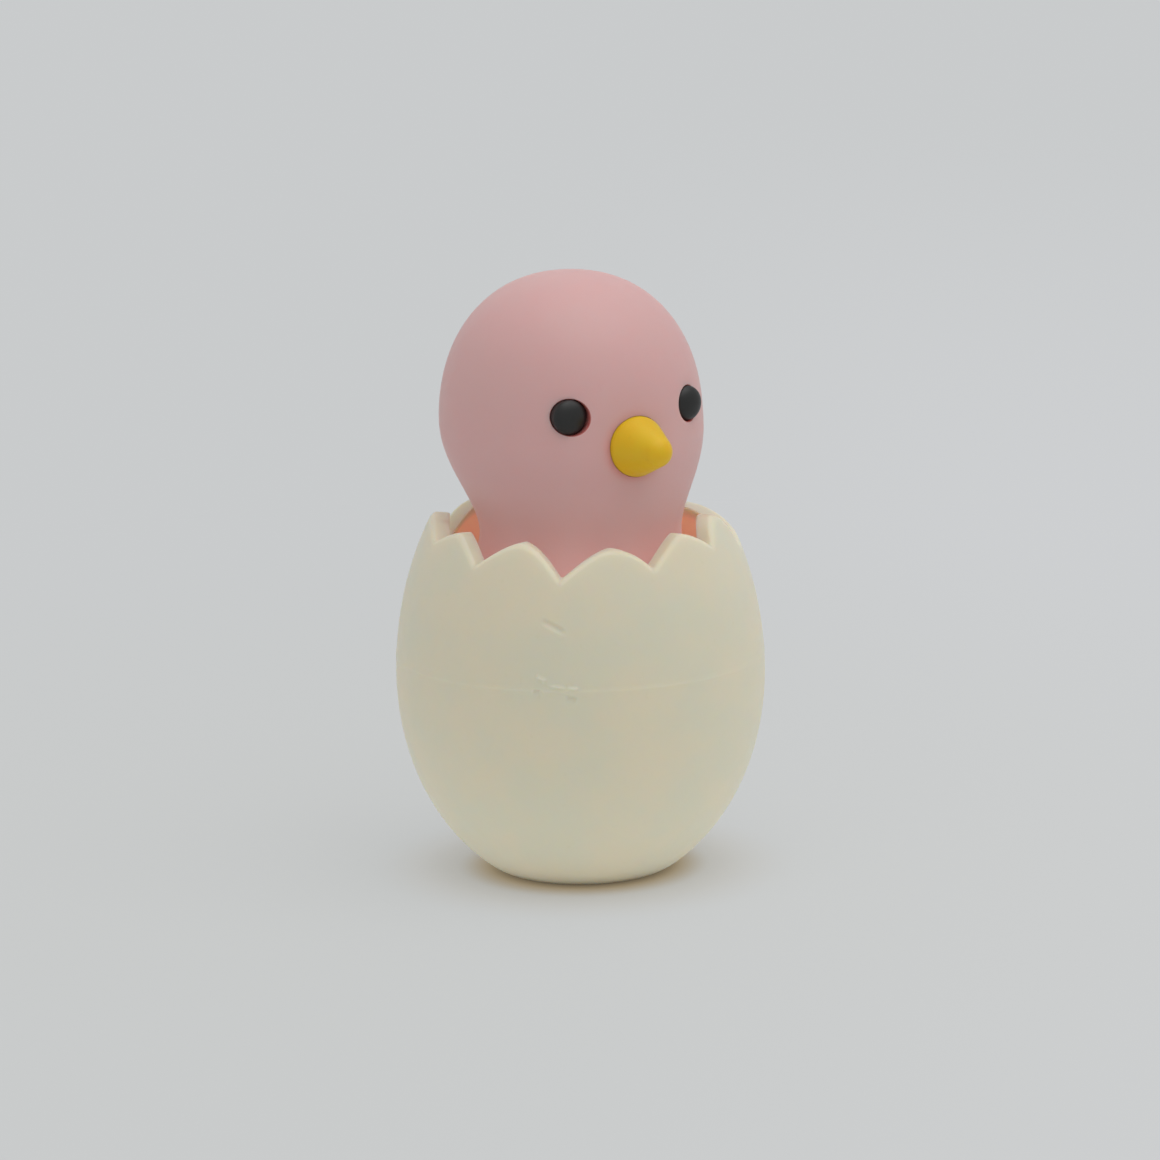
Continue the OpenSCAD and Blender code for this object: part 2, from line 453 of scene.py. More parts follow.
YELLOW = RubberFinish(
    name="yellow_rubber", slot="beak_rubber",
    colour=(0.865, 0.69, 0.07), drift_colour=(0.855, 0.705, 0.09),
    speck_colour=(0.75, 0.58, 0.1), speck_share=0.1,
    roughness=0.5, rubbed_roughness=0.42, drift_size=2.0,
    scatter=0.5, scatter_radius=(1.0, 0.6, 0.15), scatter_depth=0.7,
)
BLACK = RubberFinish(
    name="black_rubber", slot="eye_rubber",
    colour=(0.088, 0.088, 0.085), drift_colour=(0.1, 0.1, 0.097),
    speck_colour=(0.24, 0.24, 0.24), speck_share=0.15,
    roughness=0.42, rubbed_roughness=0.5, grain_size=0.12, drift_size=1.2,
    scatter=0.0, gloss=0.45,
)


@dataclass
class Piece:
    """A piece of the eraser that stands for one CAD node, in millimetres."""

    name: str
    node: str
    slot: str

    def shape(self, mesh: bmesh.types.BMesh) -> None:
        """Models the piece.

        Args:
            mesh: The empty mesh to build in.
        """
        raise NotImplementedError

    def build(self, material: bpy.types.Material) -> bpy.types.Object:
        """Builds and dresses the piece.

        Args:
            material: The rubber that covers it.

        Returns:
            The new object.
        """
        mesh = bmesh.new()
        self.shape(mesh)
        bmesh.ops.scale(mesh, vec=(MM, MM, MM), verts=mesh.verts[:])
        for face in mesh.faces:
            face.smooth = True
        data = bpy.data.meshes.new(self.name)
        mesh.to_mesh(data)
        mesh.free()
        data.materials.append(material)
        piece = show(self.name, data)
        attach(piece, BODY)
        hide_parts(self.node)
        LOG.info("%s: %d faces", self.name, len(data.polygons))
        return piece


@dataclass(frozen=True)
class Tooth:
    """One tooth of the broken rim and the notch after it.

    Azimuths go from -Y towards +X. Drops are shares of the break depth below
    the tallest tooth. A curve of 1 is a straight flank, 2 a round one.
    """

    azimuth: float
    drop: float
    left_curve: float
    right_curve: float
    notch_azimuth: float
    notch_drop: float


@dataclass(frozen=True)
class Scar:
    """A small mark pressed into, or left standing on, the shell's outside.

    The place is an azimuth and a height, the mark a soft ellipse turned from
    level by lean, with a length and the reach of its upper and lower side.
    Depth is inwards.
    """

    azimuth: float
    height: float
    length: float
    above: float
    below: float
    lean: float
    depth: float


@dataclass
class ShellCup(Piece):
    """The ivory cup with its broken rim, in millimetres.

    Darker spots near the tops of two teeth are given by their place and size.
    """

    name: str = "shell_cup"
    node: str = "egg_shell"
    slot: str = IVORY.slot
    diameter: float = 27.0
    belly_height: float = 14.8
    foot_diameter: float = 12.4
    mouth_diameter: float = 20.9
    rim_height: float = 26.9
    wall: float = 1.25
    floor: float = 2.0
    lower_roundness: float = 2.05
    upper_roundness: float = 1.95
    parting_height: float = 16.2
    parting_reach: float = 0.18
    parting_band: float = 1.0
    parting_relief: float = 0.035
    break_depth: float = 3.3
    tip_softness: float = 0.25
    tip_wear: float = 0.1
    worn_height: float = 1.3
    glow_top: float = 0.15
    glow_depth: float = 1.4
    outer_lip: float = 0.34
    inner_lip: float = 0.14
    notch_round: float = 0.1
    notch_overrun: float = 0.6
    steepest: float = 2.2
    foot_inset: float = 0.45
    foot_rise: float = 0.55
    foot_tuck: float = 0.02
    floor_fillet: float = 0.8
    inside_share: tuple[float, float] = (0.93, 0.995)
    degree_length: float = 0.236
    free_height: float = 18.4
    sides: int = 560
    teeth: tuple[Tooth, ...] = (
        Tooth(-124, 0.10, 2.1, 2.4, -99, 0.46),
        Tooth(-85, 0.17, 1.15, 1.25, -71.3, 0.72),
        Tooth(-54, 0.20, 1.25, 1.8, -38, 0.92),
        Tooth(-19.5, 0.34, 1.4, 2.3, -4.2, 0.77),
        Tooth(11.5, 0.18, 1.1, 1.5, 26.3, 0.54),
        Tooth(38, 0.00, 2.4, 2.2, 53, 0.83),
        Tooth(101, 0.34, 1.3, 1.8, 119, 0.72),
        Tooth(134, 0.21, 1.6, 2.0, 150, 0.73),
        Tooth(165, 0.15, 1.3, 1.9, 181, 0.79),
        Tooth(197, 0.20, 1.6, 2.2, 212.5, 0.95),
    )
    scars: tuple[Scar, ...] = (
        Scar(-40.0, 20.88, 1.6, 0.14, 0.36, -27, 0.085),
        Scar(-40.2, 20.5, 1.7, 0.16, 0.16, -27, -0.06),
        Scar(-43.6, 17.12, 0.75, 0.18, 0.18, -30, -0.09),
        Scar(-38.6, 16.55, 1.1, 0.15, 0.12, -6, -0.095),
        Scar(-34.0, 16.46, 0.75, 0.15, 0.12, -4, -0.095),
        Scar(-44.9, 16.2, 0.6, 0.12, 0.3, 0, 0.08),
        Scar(-34.4, 15.8, 0.7, 0.12, 0.35, -15, 0.08),
    )
    dark_spots: tuple[tuple[float, float, float, float], ...] = (
        (-8.96, 3.44, 26.7, 0.42), (6.25, -7.57, 26.65, 0.5),
    )

    def __post_init__(self) -> None:
        """Works out the two half ovals of the outside."""
        low = 1 - (self.foot_diameter / self.diameter) ** self.lower_roundness
        high = 1 - (self.mouth_diameter / self.diameter) ** self.upper_roundness
        self.lower_reach = self.belly_height / low ** (1 / self.lower_roundness)
        rise = self.rim_height - self.belly_height
        self.upper_reach = rise / high ** (1 / self.upper_roundness)

    def outer_radius(self, height: float) -> float:
        """Gives the radius of the outside.

        Args:
            height: Height above the foot.

        Returns:
            The radius there.
        """
        if height > self.belly_height:
            up = (height - self.belly_height) / self.upper_reach
            return oval(self.diameter / 2, up, self.upper_roundness)
        down = (self.belly_height - height) / self.lower_reach
        return oval(self.diameter / 2, down, self.lower_roundness)

    def inner_radius(self, height: float) -> float:
        """Radius of the inside, one wall away square to the outside."""
        slope = (self.outer_radius(height + 0.05) - self.outer_radius(height - 0.05)) / 0.1
        return self.outer_radius(height) - self.wall * math.hypot(1, slope)

    def on_outside(self, radius: float, height: float) -> bool:
        """Tells whether a place is in the outer part of the wall."""
        return radius >= self.inner_radius(height) + 0.4 * self.wall

    def flank(self, reach: float, curve: float) -> float:
        """Gives the outline of a tooth.

        Args:
            reach: How far out on the flank, from 0 at the tip to 1 at the notch.
            curve: 1 for a straight flank, 2 for a round one.

        Returns:
            The share of the flank's drop.
        """
        soft = self.tip_softness
        low = soft ** curve
        high = math.hypot(1, soft) ** curve
        return (math.hypot(reach, soft) ** curve - low) / (high - low)

    def rim_at(self, azimuth: float, radius: float) -> float:
        """Height of the broken rim.

        Args:
            azimuth: Degrees from -Y towards +X.
            radius: Distance from the axis.

        Returns:
            The height to which the wall stands there.
        """
        middle = self.rim_height - self.break_depth / 2
        break_radius = self.outer_radius(middle) - self.wall / 2
        best = self.rim_height
        for tooth, after in zip(self.teeth, self.teeth[1:] + self.teeth[:1]):
            turn = (azimuth - tooth.notch_azimuth + 180) % 360 - 180
            if abs(turn) > 80:  # a notch cuts nothing on the far side
                continue
            across = radius * math.sin(math.radians(turn))
            if across < 0:
                drop, curve = tooth.drop, tooth.right_curve
                span = (tooth.notch_azimuth - tooth.azimuth) % 360
            else:
                drop, curve = after.drop, after.left_curve
                span = (after.azimuth - tooth.notch_azimuth) % 360
            away = math.hypot(across, self.notch_round) - self.notch_round
            width = break_radius * math.sin(math.radians(span))
            if away > width + self.notch_overrun:
                continue
            tip = self.rim_height - drop * self.break_depth
            low = self.rim_height - tooth.notch_drop * self.break_depth
            top = tip - (tip - low) * self.flank(max(0.0, 1 - away / width), curve)
            best = min(top, best)
        return best

    def rim_on(self, azimuth: float, surface: Callable[[float], float]) -> float:
        """Height of the broken rim on a surface of revolution.

        Args:
            azimuth: Degrees from -Y towards +X.
            surface: Gives the surface's radius at a height.

        Returns:
            The height at which the broken line crosses the surface.
        """
        level = self.rim_height - self.break_depth / 2
        for _ in range(5):
            level = self.rim_at(azimuth, surface(level))
        return level

    def steepness(self, azimuth: float) -> float:
        """Gives how much longer the broken line is than its level run.

        Args:
            azimuth: Degrees from -Y towards +X.

        Returns:
            The ratio, from 1 to the steepest that counts.
        """
        here = self.rim_on(azimuth, self.outer_radius)
        turn = 1.5
        run = self.outer_radius(here) * math.radians(turn)
        beside = (self.rim_on(azimuth + a, self.outer_radius) for a in (-turn, turn))
        return min(self.steepest, math.hypot(1, max(abs(rim - here) / run for rim in beside)))

    def profile(self) -> list[Point]:
        """Draws the section of the unbroken cup.

        Returns:
            The points from the middle of the foot round to the middle of the floor.
        """
        rim, fillet, seat = self.rim_height, self.floor_fillet, self.floor
        wide, rise = self.outer_radius(0), self.foot_rise
        foot = wide - self.foot_inset
        points: list[Point] = [(0.0, 0.0)]
        points += [(r, 0.0) for r in steps(1.5, foot, 4)]
        points += bow((foot, 0.0), (wide - self.foot_tuck, 0.0), (self.outer_radius(rise), rise), 6)
        line, band = self.parting_height, self.parting_band
        below, rings, crowding = line - band, 26, 1.15
        levels = [rise + (below - rise) * (i / rings) ** crowding for i in range(1, rings)]
        levels += banded((below, 18), (line + band, 26), (rim - 1.5, 7), (rim - self.outer_lip, 0))
        for z in levels:
            swell = math.exp(-((z - line) / self.parting_reach) ** 2)
            points.append((self.outer_radius(z) + self.parting_relief * swell, z))
        points += self.lip()
        inner = banded(
            (rim - self.inner_lip, 10), (rim - 2.0, 18), (self.free_height, 16), (seat + fillet, 0)
        )
        points += [(self.inner_radius(z), z) for z in inner]
        edge, high = self.inner_radius(seat), seat + fillet
        points += bow((self.inner_radius(high), high), (edge, seat), (edge - fillet, seat), 4)
        points += [(r, seat) for r in steps(edge - 2 * fillet, 0.0, 4)]
        points.append((0.0, seat))
        return points

    def lip(self) -> list[Point]:
        """Draws the top of the wall, with both edges rounded.

        Returns:
            The points from the outside to the inside.
        """
        top, soft, crisp = self.rim_height, self.outer_lip, self.inner_lip
        outer, inner = self.outer_radius(top), self.inner_radius(top)
        points: list[Point] = []
        for i in range(9):
            turn = math.radians(11.25 * i)
            z = top - soft * (1 - math.sin(turn))
            points.append((self.outer_radius(z) - soft * (1 - math.cos(turn)), z))
        points += [(r, top) for r in steps(outer - soft, inner + crisp, 5)[1:]]
        for i in range(6):
            turn = math.radians(18 * i)
            z = top - crisp * (1 - math.cos(turn))
            points.append((self.inner_radius(z) + crisp * (1 - math.sin(turn)), z))
        return points[:-1]

    def break_rim(self, mesh: bmesh.types.BMesh) -> None:
        """Draws the plain rim down to the broken line.

        Args:
            mesh: The unbroken cup. Its inside gets a mask of painted warm glow, which stands in for
                light that comes through the wall.
        """
        # Painted light: the mask covers the inside of the wall below the rim and the cup's floor.
        painted_inner_glow = mesh.verts.layers.float["painted_inner_glow"]
        blank = self.rim_height - self.free_height
        seat_radius = self.inner_radius(self.floor) + 0.1
        rims: dict[int, tuple[float, float, float]] = {}
        for vert in mesh.verts:
            x, y, z = vert.co
            radius = math.hypot(x, y)
            if 1 < z < self.floor + 0.01 and radius < seat_radius:
                vert[painted_inner_glow] = 1.0
                continue
            outer, inner = self.outer_radius(z), self.inner_radius(z)
            across = (outer - radius) / (outer - inner) if z > self.floor else 0.0
            depth = self.rim_height - z
            deep = blend(0.0, 1.0, share(depth, self.glow_top, self.glow_depth))
            vert[painted_inner_glow] = share(across, *self.inside_share) * deep
            if z <= self.free_height:
                continue
            azimuth = azimuth_of(x, y)
            column = round(azimuth * 100)
            if column not in rims:
                rims[column] = (
                    self.rim_on(azimuth, self.outer_radius),
                    self.rim_on(azimuth, self.inner_radius), self.steepness(azimuth),
                )
            outside, inside, steep = rims[column]
            rim = outside + across * (inside - outside)
            worn = self.tip_wear * share(rim, self.rim_height - self.worn_height, self.rim_height)
            fall = self.rim_height - rim + worn * abs(2 * across - 1) ** 3
            fall += (steep - 1) * min(depth, self.outer_lip) * (1 - across)
            level = z - fall * (1 - (depth / blank) ** 2)
            at = self.outer_radius(level)
            at -= across * (at - self.inner_radius(level))
            vert.co = (x * at / radius, y * at / radius, level)

    def mark(self, mesh: bmesh.types.BMesh) -> None:
        """Presses the scars into the outside and notes the darker spots on two teeth.

        Args:
            mesh: The broken cup.
        """
        dark_spot = mesh.verts.layers.float["dark_spot"]
        moves: list[tuple[bmesh.types.BMVert, float]] = []
        for vert in mesh.verts:
            x, y, z = vert.co
            radius = math.hypot(x, y)
            azimuth = azimuth_of(x, y)
            push = 0.0
            for scar in self.scars:
                turn = math.radians((azimuth - scar.azimuth + 180) % 360 - 180)
                if abs(turn) > 0.4 or not self.on_outside(radius, z):
                    continue
                along, up = radius * turn, z - scar.height
                lean = math.radians(scar.lean)
                a = along * math.cos(lean) + up * math.sin(lean)
                b = up * math.cos(lean) - along * math.sin(lean)
                reach = scar.above if b > 0 else scar.below
                push += scar.depth * math.exp(-((2 * a / scar.length) ** 4) - (b / reach) ** 2)
            if push:
                moves.append((vert, push))
            for sx, sy, sz, size in self.dark_spots:
                far = math.dist((x, y, z), (sx, sy, sz))
                vert[dark_spot] = max(vert[dark_spot], math.exp(-((far / size) ** 2)))
        for vert, push in moves:
            vert.co -= vert.normal * push

    def is_scarred(self, x: float, y: float, z: float) -> bool:
        """Tells whether a place is on the outside and near a scar."""
        return self.on_outside(math.hypot(x, y), z) and any(
            abs(azimuth_of(x, y) - scar.azimuth) * self.degree_length < 0.7 * scar.length
            and abs(z - scar.height) < 0.8
            for scar in self.scars
        )

    def refine(self, mesh: bmesh.types.BMesh) -> None:
        """Divides the faces round the scars, so that the small marks show.

        Args:
            mesh: The broken cup.
        """
        edges = [e for e in mesh.edges if all(self.is_scarred(*v.co) for v in e.verts)]
        bmesh.ops.subdivide_edges(mesh, edges=edges, cuts=3, use_grid_fill=True)
        mesh.normal_update()

    def shape(self, mesh: bmesh.types.BMesh) -> None:
        """Models the cup.

        Args:
            mesh: The empty mesh to build in.
        """
        mesh.verts.layers.float.new("painted_inner_glow")
        mesh.verts.layers.float.new("dark_spot")
        revolve(mesh, self.profile(), self.sides)
        self.break_rim(mesh)
        self.refine(mesh)
        self.mark(mesh)


@dataclass
class Socket:
    """A round hole in the chick's skin for a plug, in millimetres.

    Across and height give its place on the skin, splay turns its axis away
    from straight ahead, towards +X. Depth is measured from the skin at its
    centre, soft is how far its edge is rounded.
    """

    across: float
    height: float
    splay: float
    radius: float
    depth: float
    soft: float
    origin: Vector = field(default_factory=Vector)

    def __post_init__(self) -> None:
        """Works out the unit vectors to the side, up, and out of the head."""
        turn = math.radians(self.splay)
        self.side = Vector((math.cos(turn), math.sin(turn), 0))
        self.up = Vector((0, 0, 1))
        self.out = Vector((math.sin(turn), -math.cos(turn), 0))

    def placing(self) -> Matrix:
        """Returns the matrix that puts a plug made along Z in the socket."""
        turned = Matrix((self.side, self.up, self.out)).transposed().to_4x4()
        return Matrix.Translation(self.origin) @ turned

    def flat(self, place: Vector) -> tuple[float, float, float]:
        """Turns a place into the socket's own measures.

        Args:
            place: The place.

        Returns:
            Its distance from the axis, its angle and its height above the skin.
        """
        ray = place - self.origin
        a, b = ray.dot(self.side), ray.dot(self.up)
        return math.hypot(a, b), math.atan2(b, a), ray.dot(self.out)

    def place(self, away: float, angle: float, high: float) -> Vector:
        """Returns the place at a distance from the axis, an angle and a height above the skin."""
        across = self.side * math.cos(angle) + self.up * math.sin(angle)
        return self.origin + across * away + self.out * high

    def faces(self, place: Vector, limit: float) -> bool:
        """Tells whether a place on the skin is in front and within a limit of the axis."""
        away, _, high = self.flat(place)
        return away < limit and high > FRONT_DEPTH


@dataclass
class Chick(Piece):
    """The pink chick, lofted through level rings, in millimetres."""

    name: str = "chick_figure"
    node: str = "chick_body"
    slot: str = PINK.slot
    overall_height: float = 44.1
    head_diameter: float = 19.2
    head_height: float = 33.1
    crown_roundness: float = 2.2
    head_setback: float = 0.8
    neck_diameter: float = 14.7
    neck_height: float = 25.3
    neck_forward: float = 0.3
    lean_rise: float = 1.2
    body_gap: float = 1.2
    seat: float = 2.0
    body_height: float = 16.6
    foot_fillet: float = 0.8
    cup: ShellCup = field(default_factory=ShellCup)
    sides: int = 288
    rings_apart: float = 0.2
    collar_width: float = 1.4
    # Painted shade round the beak: its width and the angle where it is strongest.
    painted_shade_width: float = 0.8
    painted_shade_angle: float = math.radians(205)
    # Painted glow on the body: full below the first height, gone above the second.
    painted_glow_heights: tuple[float, float] = (23.0, 31.0)
    waist_start: float = 22.4
    beak_socket: Socket = field(
        default_factory=lambda: Socket(-0.3, 32.65, 0.0, 2.185, 3.35, 0.04)
    )
    eye_sockets: dict[Side, Socket] = field(default_factory=lambda: {
        side: Socket(side.value * 4.95, 35.0, side.value * 8.0, 1.3, 4.39, 0.08) for side in Side
    })

    def __post_init__(self) -> None:
        """Puts each socket's origin on the skin."""
        self.sockets = [self.beak_socket, *self.eye_sockets.values()]
        for socket in self.sockets:
            x, z = socket.across, socket.height
            y = -self.forward(z) - math.sqrt(self.radius(z) ** 2 - x * x)
            socket.origin = Vector((x, y, z))

    def radius(self, height: float) -> float:
        """Gives the radius of the chick's skin.

        Args:
            height: Height above the foot of the cup.

        Returns:
            The radius of the level ring there.
        """
        head, neck = self.head_diameter / 2, self.neck_diameter / 2
        if height > self.head_height:
            up = share(height, self.head_height, self.overall_height)
            return oval(head, up, self.crown_roundness)
        if height > self.neck_height:
            up = share(height, self.neck_height, self.head_height)
            return neck + (head - neck) * (1 - (1 - up) ** 2) ** 2
        body = self.cup.inner_radius(self.body_height) - self.body_gap
        if height > self.body_height:
            return blend(body, neck, share(height, self.body_height, self.neck_height))
        rise = 1 - share(height, self.seat, self.seat + self.foot_fillet)
        fillet = self.foot_fillet * (1 - math.sqrt(1 - rise * rise))
        return self.cup.inner_radius(height) - self.body_gap - fillet

    def forward(self, height: float) -> float:
        """Gives how far a level ring is shifted towards -Y.

        Args:
            height: Height above the foot of the cup.

        Returns:
            The shift.
        """
        if height > self.neck_height:
            up = share(height, self.neck_height, self.head_height + self.lean_rise)
            return blend(self.neck_forward, -self.head_setback, up)
        return blend(0.0, self.neck_forward, share(height, self.body_height, self.neck_height))

    def profile(self) -> list[Point]:
        """Draws the rings, from the foot to the crown.

        Returns:
            Their radii and heights.
        """
        fillet, head, crown_rings = self.foot_fillet, self.head_height, 84
        levels = [self.seat + fillet * (1 - math.cos(math.radians(15 * i))) for i in range(7)]
        waist = math.ceil((head - self.waist_start) / self.rings_apart)
        levels += banded(
            (self.seat + fillet + 0.5, 26), (self.waist_start, waist), (head, 0)
        )
        crown = self.overall_height - head
        levels += [
            head + crown * math.sin(math.radians(90 * i / crown_rings)) for i in range(crown_rings)
        ]
        base = self.radius(self.seat)
        points: list[Point] = [(0.0, self.seat)]
        points += [(r, self.seat) for r in steps(base / 4, base, 3)]
        points += [(self.radius(z), z) for z in levels]
        points.append((0.0, self.overall_height))
        return points

    def skin_along(self, socket: Socket, away: float, angle: float) -> float:
        """Height of the skin over a socket's plane.

        Args:
            socket: The socket.
            away: Distance from its axis.
            angle: Angle round its axis.

        Returns:
            The distance along the axis from the socket's origin to the skin.
        """
        place = socket.place(away, angle, 0.0)
        centre = Vector((0, -self.forward(place.z), place.z))
        ray = place - centre
        along = ray.dot(socket.out)
        inside = along * along - ray.length_squared + self.radius(place.z) ** 2
        return -along + math.sqrt(max(0.0, inside))

    def open_socket(self, mesh: bmesh.types.BMesh, socket: Socket) -> None:
        """Cuts a socket into the skin and rounds its edge.

        Args:
            mesh: The chick's closed skin.
            socket: The socket to cut.
        """
        edge_radius = socket.radius + socket.soft
        room = edge_radius + 0.6 * self.rings_apart
        mouth = [v for v in mesh.verts if socket.faces(v.co, room)]
        bmesh.ops.delete(mesh, geom=mouth, context="VERTS")
        loop = [e for e in mesh.edges if e.is_boundary]
        ring = sorted({v for e in loop for v in e.verts}, key=lambda v: socket.flat(v.co)[1])
        start = socket.flat(ring[0].co)[1]
        for i, vert in enumerate(ring):
            angle = start + math.tau * i / len(ring)
            vert.co = socket.place(edge_radius, angle, self.skin_along(socket, edge_radius, angle))
        kept = set(ring)
        limit = edge_radius + self.collar_width
        collar = [v for v in mesh.verts if v not in kept and socket.faces(v.co, limit)]
        for _ in range(12):
            bmesh.ops.smooth_vert(
                mesh, verts=collar, factor=0.5, use_axis_x=True, use_axis_y=True, use_axis_z=True
            )
            for vert in collar:
                away, angle, _ = socket.flat(vert.co)
                vert.co = socket.place(away, angle, self.skin_along(socket, away, angle))
        rounding, walls = 6, 4
        for k in range(1, rounding + walls + 1):
            grown = bmesh.ops.extrude_edge_only(mesh, edges=loop)["geom"]
            loop = [g for g in grown if isinstance(g, bmesh.types.BMEdge)]
            for vert in (g for g in grown if isinstance(g, bmesh.types.BMVert)):
                _, angle, _ = socket.flat(vert.co)
                corner = self.skin_along(socket, socket.radius, angle)
                skin = self.skin_along(socket, edge_radius, angle)
                away, high = bow(
                    (edge_radius, skin), (socket.radius, corner),
                    (socket.radius, corner - socket.soft), rounding,
                )[min(k, rounding)]
                if k > rounding:
                    high += (-socket.depth - high) * (k - rounding) / walls
                vert.co = socket.place(away, angle, high)
        bmesh.ops.contextual_create(mesh, geom=loop)

    def shape(self, mesh: bmesh.types.BMesh) -> None:
        """Models the chick, with masks for painted glow low in the cup and painted shade round the
        beak and in the sockets.

        Args:
            mesh: The empty mesh to build in.
        """
        painted_body_glow = mesh.verts.layers.float.new("painted_body_glow")
        painted_socket_shade = mesh.verts.layers.float.new("painted_socket_shade")
        painted_beak_shade = mesh.verts.layers.float.new("painted_beak_shade")
        revolve(mesh, self.profile(), self.sides)
        for vert in mesh.verts:
            vert.co.y -= self.forward(vert.co.z)
        for socket in self.sockets:
            self.open_socket(mesh, socket)
        # Painted light on the body inside the cup, fading out upwards.
        low, top = self.painted_glow_heights
        for vert in mesh.verts:
            vert[painted_body_glow] = blend(0.0, 1.0, 1 - share(vert.co.z, low, top))
            # Painted shade round the beak, strongest at one angle and fading outwards.
            away, angle, high = self.beak_socket.flat(vert.co)
            if high > FRONT_DEPTH:
                edge = self.beak_socket.radius
                near = 1 - share(away, edge, edge + self.painted_shade_width)
                vert[painted_beak_shade] = near * near * (0.5 + 0.5 * math.cos(angle - self.painted_shade_angle))
            # Painted shade on each socket's wall and rounded edge.
            for socket in self.sockets:
                away, _, high = socket.flat(vert.co)
                if away < socket.radius + 0.6 * socket.soft and high > -socket.depth - 0.1:
                    vert[painted_socket_shade] = 1.0
        bmesh.ops.recalc_face_normals(mesh, faces=mesh.faces[:])


@dataclass
class Plug(Piece):
    """A turned piece that sits in a socket of the chick, in millimetres."""

    socket: Socket
    sides: int = 96

    def profile(self) -> list[Point]:
        """Returns the section from the plug's end to its visible tip."""
        raise NotImplementedError

    def shape(self, mesh: bmesh.types.BMesh) -> None:
        """Models the plug and puts it in its socket.

        Args:
            mesh: The empty mesh to build in.
        """
        revolve(mesh, self.profile(), self.sides)
        bmesh.ops.transform(mesh, matrix=self.socket.placing(), verts=mesh.verts[:])


@dataclass
class Beak(Plug):
    """The yellow beak with its plug, in millimetres."""

    radius: float = 2.175
    length: float = 3.45
    point_radius: float = 1.15
    plug_length: float = 3.2
    plug_edge: float = 0.3
    shoulder: float = 0.2
    sides: int = 128

    def profile(self) -> list[Point]:
        """Draws the section of the beak.

        Returns:
            The points from the plug's end to the point.
        """
        radius, tip, low = self.radius, self.point_radius, -self.plug_length
        centre = self.length - tip
        lean = math.atan2(radius, centre) - math.asin(tip / math.hypot(centre, radius))
        across, along = math.cos(lean), math.sin(lean)
        points = plug_end(radius, low, self.plug_edge, 0.6, 3)
        points += [(radius, z) for z in steps(low + 2 * self.plug_edge, -self.shoulder, 5)]
        end = (radius - self.shoulder * along, self.shoulder * across)
        points += bow((radius, -self.shoulder), (radius, 0.0), end, 8)
        touch = (tip * across, centre + tip * along)
        points += [
            (end[0] + (touch[0] - end[0]) * t, end[1] + (touch[1] - end[1]) * t)
            for t in steps(0.0, 1.0, 6)[1:]
        ]
        for turn in steps(lean, math.pi / 2, 12):
            points.append((tip * math.cos(turn), centre + tip * math.sin(turn)))
        points.append((0.0, self.length))
        return points


@dataclass
class Eye(Plug):
    """A black eye with its plug, in millimetres."""

    radius: float = 1.27
    plug_length: float = 4.0
    plug_edge: float = 0.25
    dome: float = 0.7
    inset: float = 0.24

    def profile(self) -> list[Point]:
        """Draws the section of the eye.

        Returns:
            The points from the plug's end to the top of the dome.
        """
        low = -self.inset - self.plug_length
        points = plug_end(self.radius, low, self.plug_edge, 0.4, 2)
        points += [(self.radius, z) for z in steps(low + 0.7, -self.inset, 5)]
        for turn in steps(0.0, math.pi / 2, 20):
            points.append((self.radius * math.cos(turn), -self.inset + self.dome * math.sin(turn)))
        points.append((0.0, self.dome - self.inset))
        return points


@dataclass(frozen=True)
class Zone:
    """A value that goes from one level to another over a stretch, in millimetres."""

    start: float
    end: float
    before: float
    after: float

    def on(self, bench: NodeBench, place: bpy.types.NodeSocket) -> bpy.types.NodeSocket:
        """Returns the value over a place that is measured in metres."""
        return bench.spread(place, self.start * MM, self.end * MM, self.before, self.after)


@dataclass(frozen=True)
class SoftBox:
    """A square lamp that points at the object. Angles are round the camera's own view."""

    name: str
    azimuth: float
    elevation: float
    distance: float
    size: float
    power: float


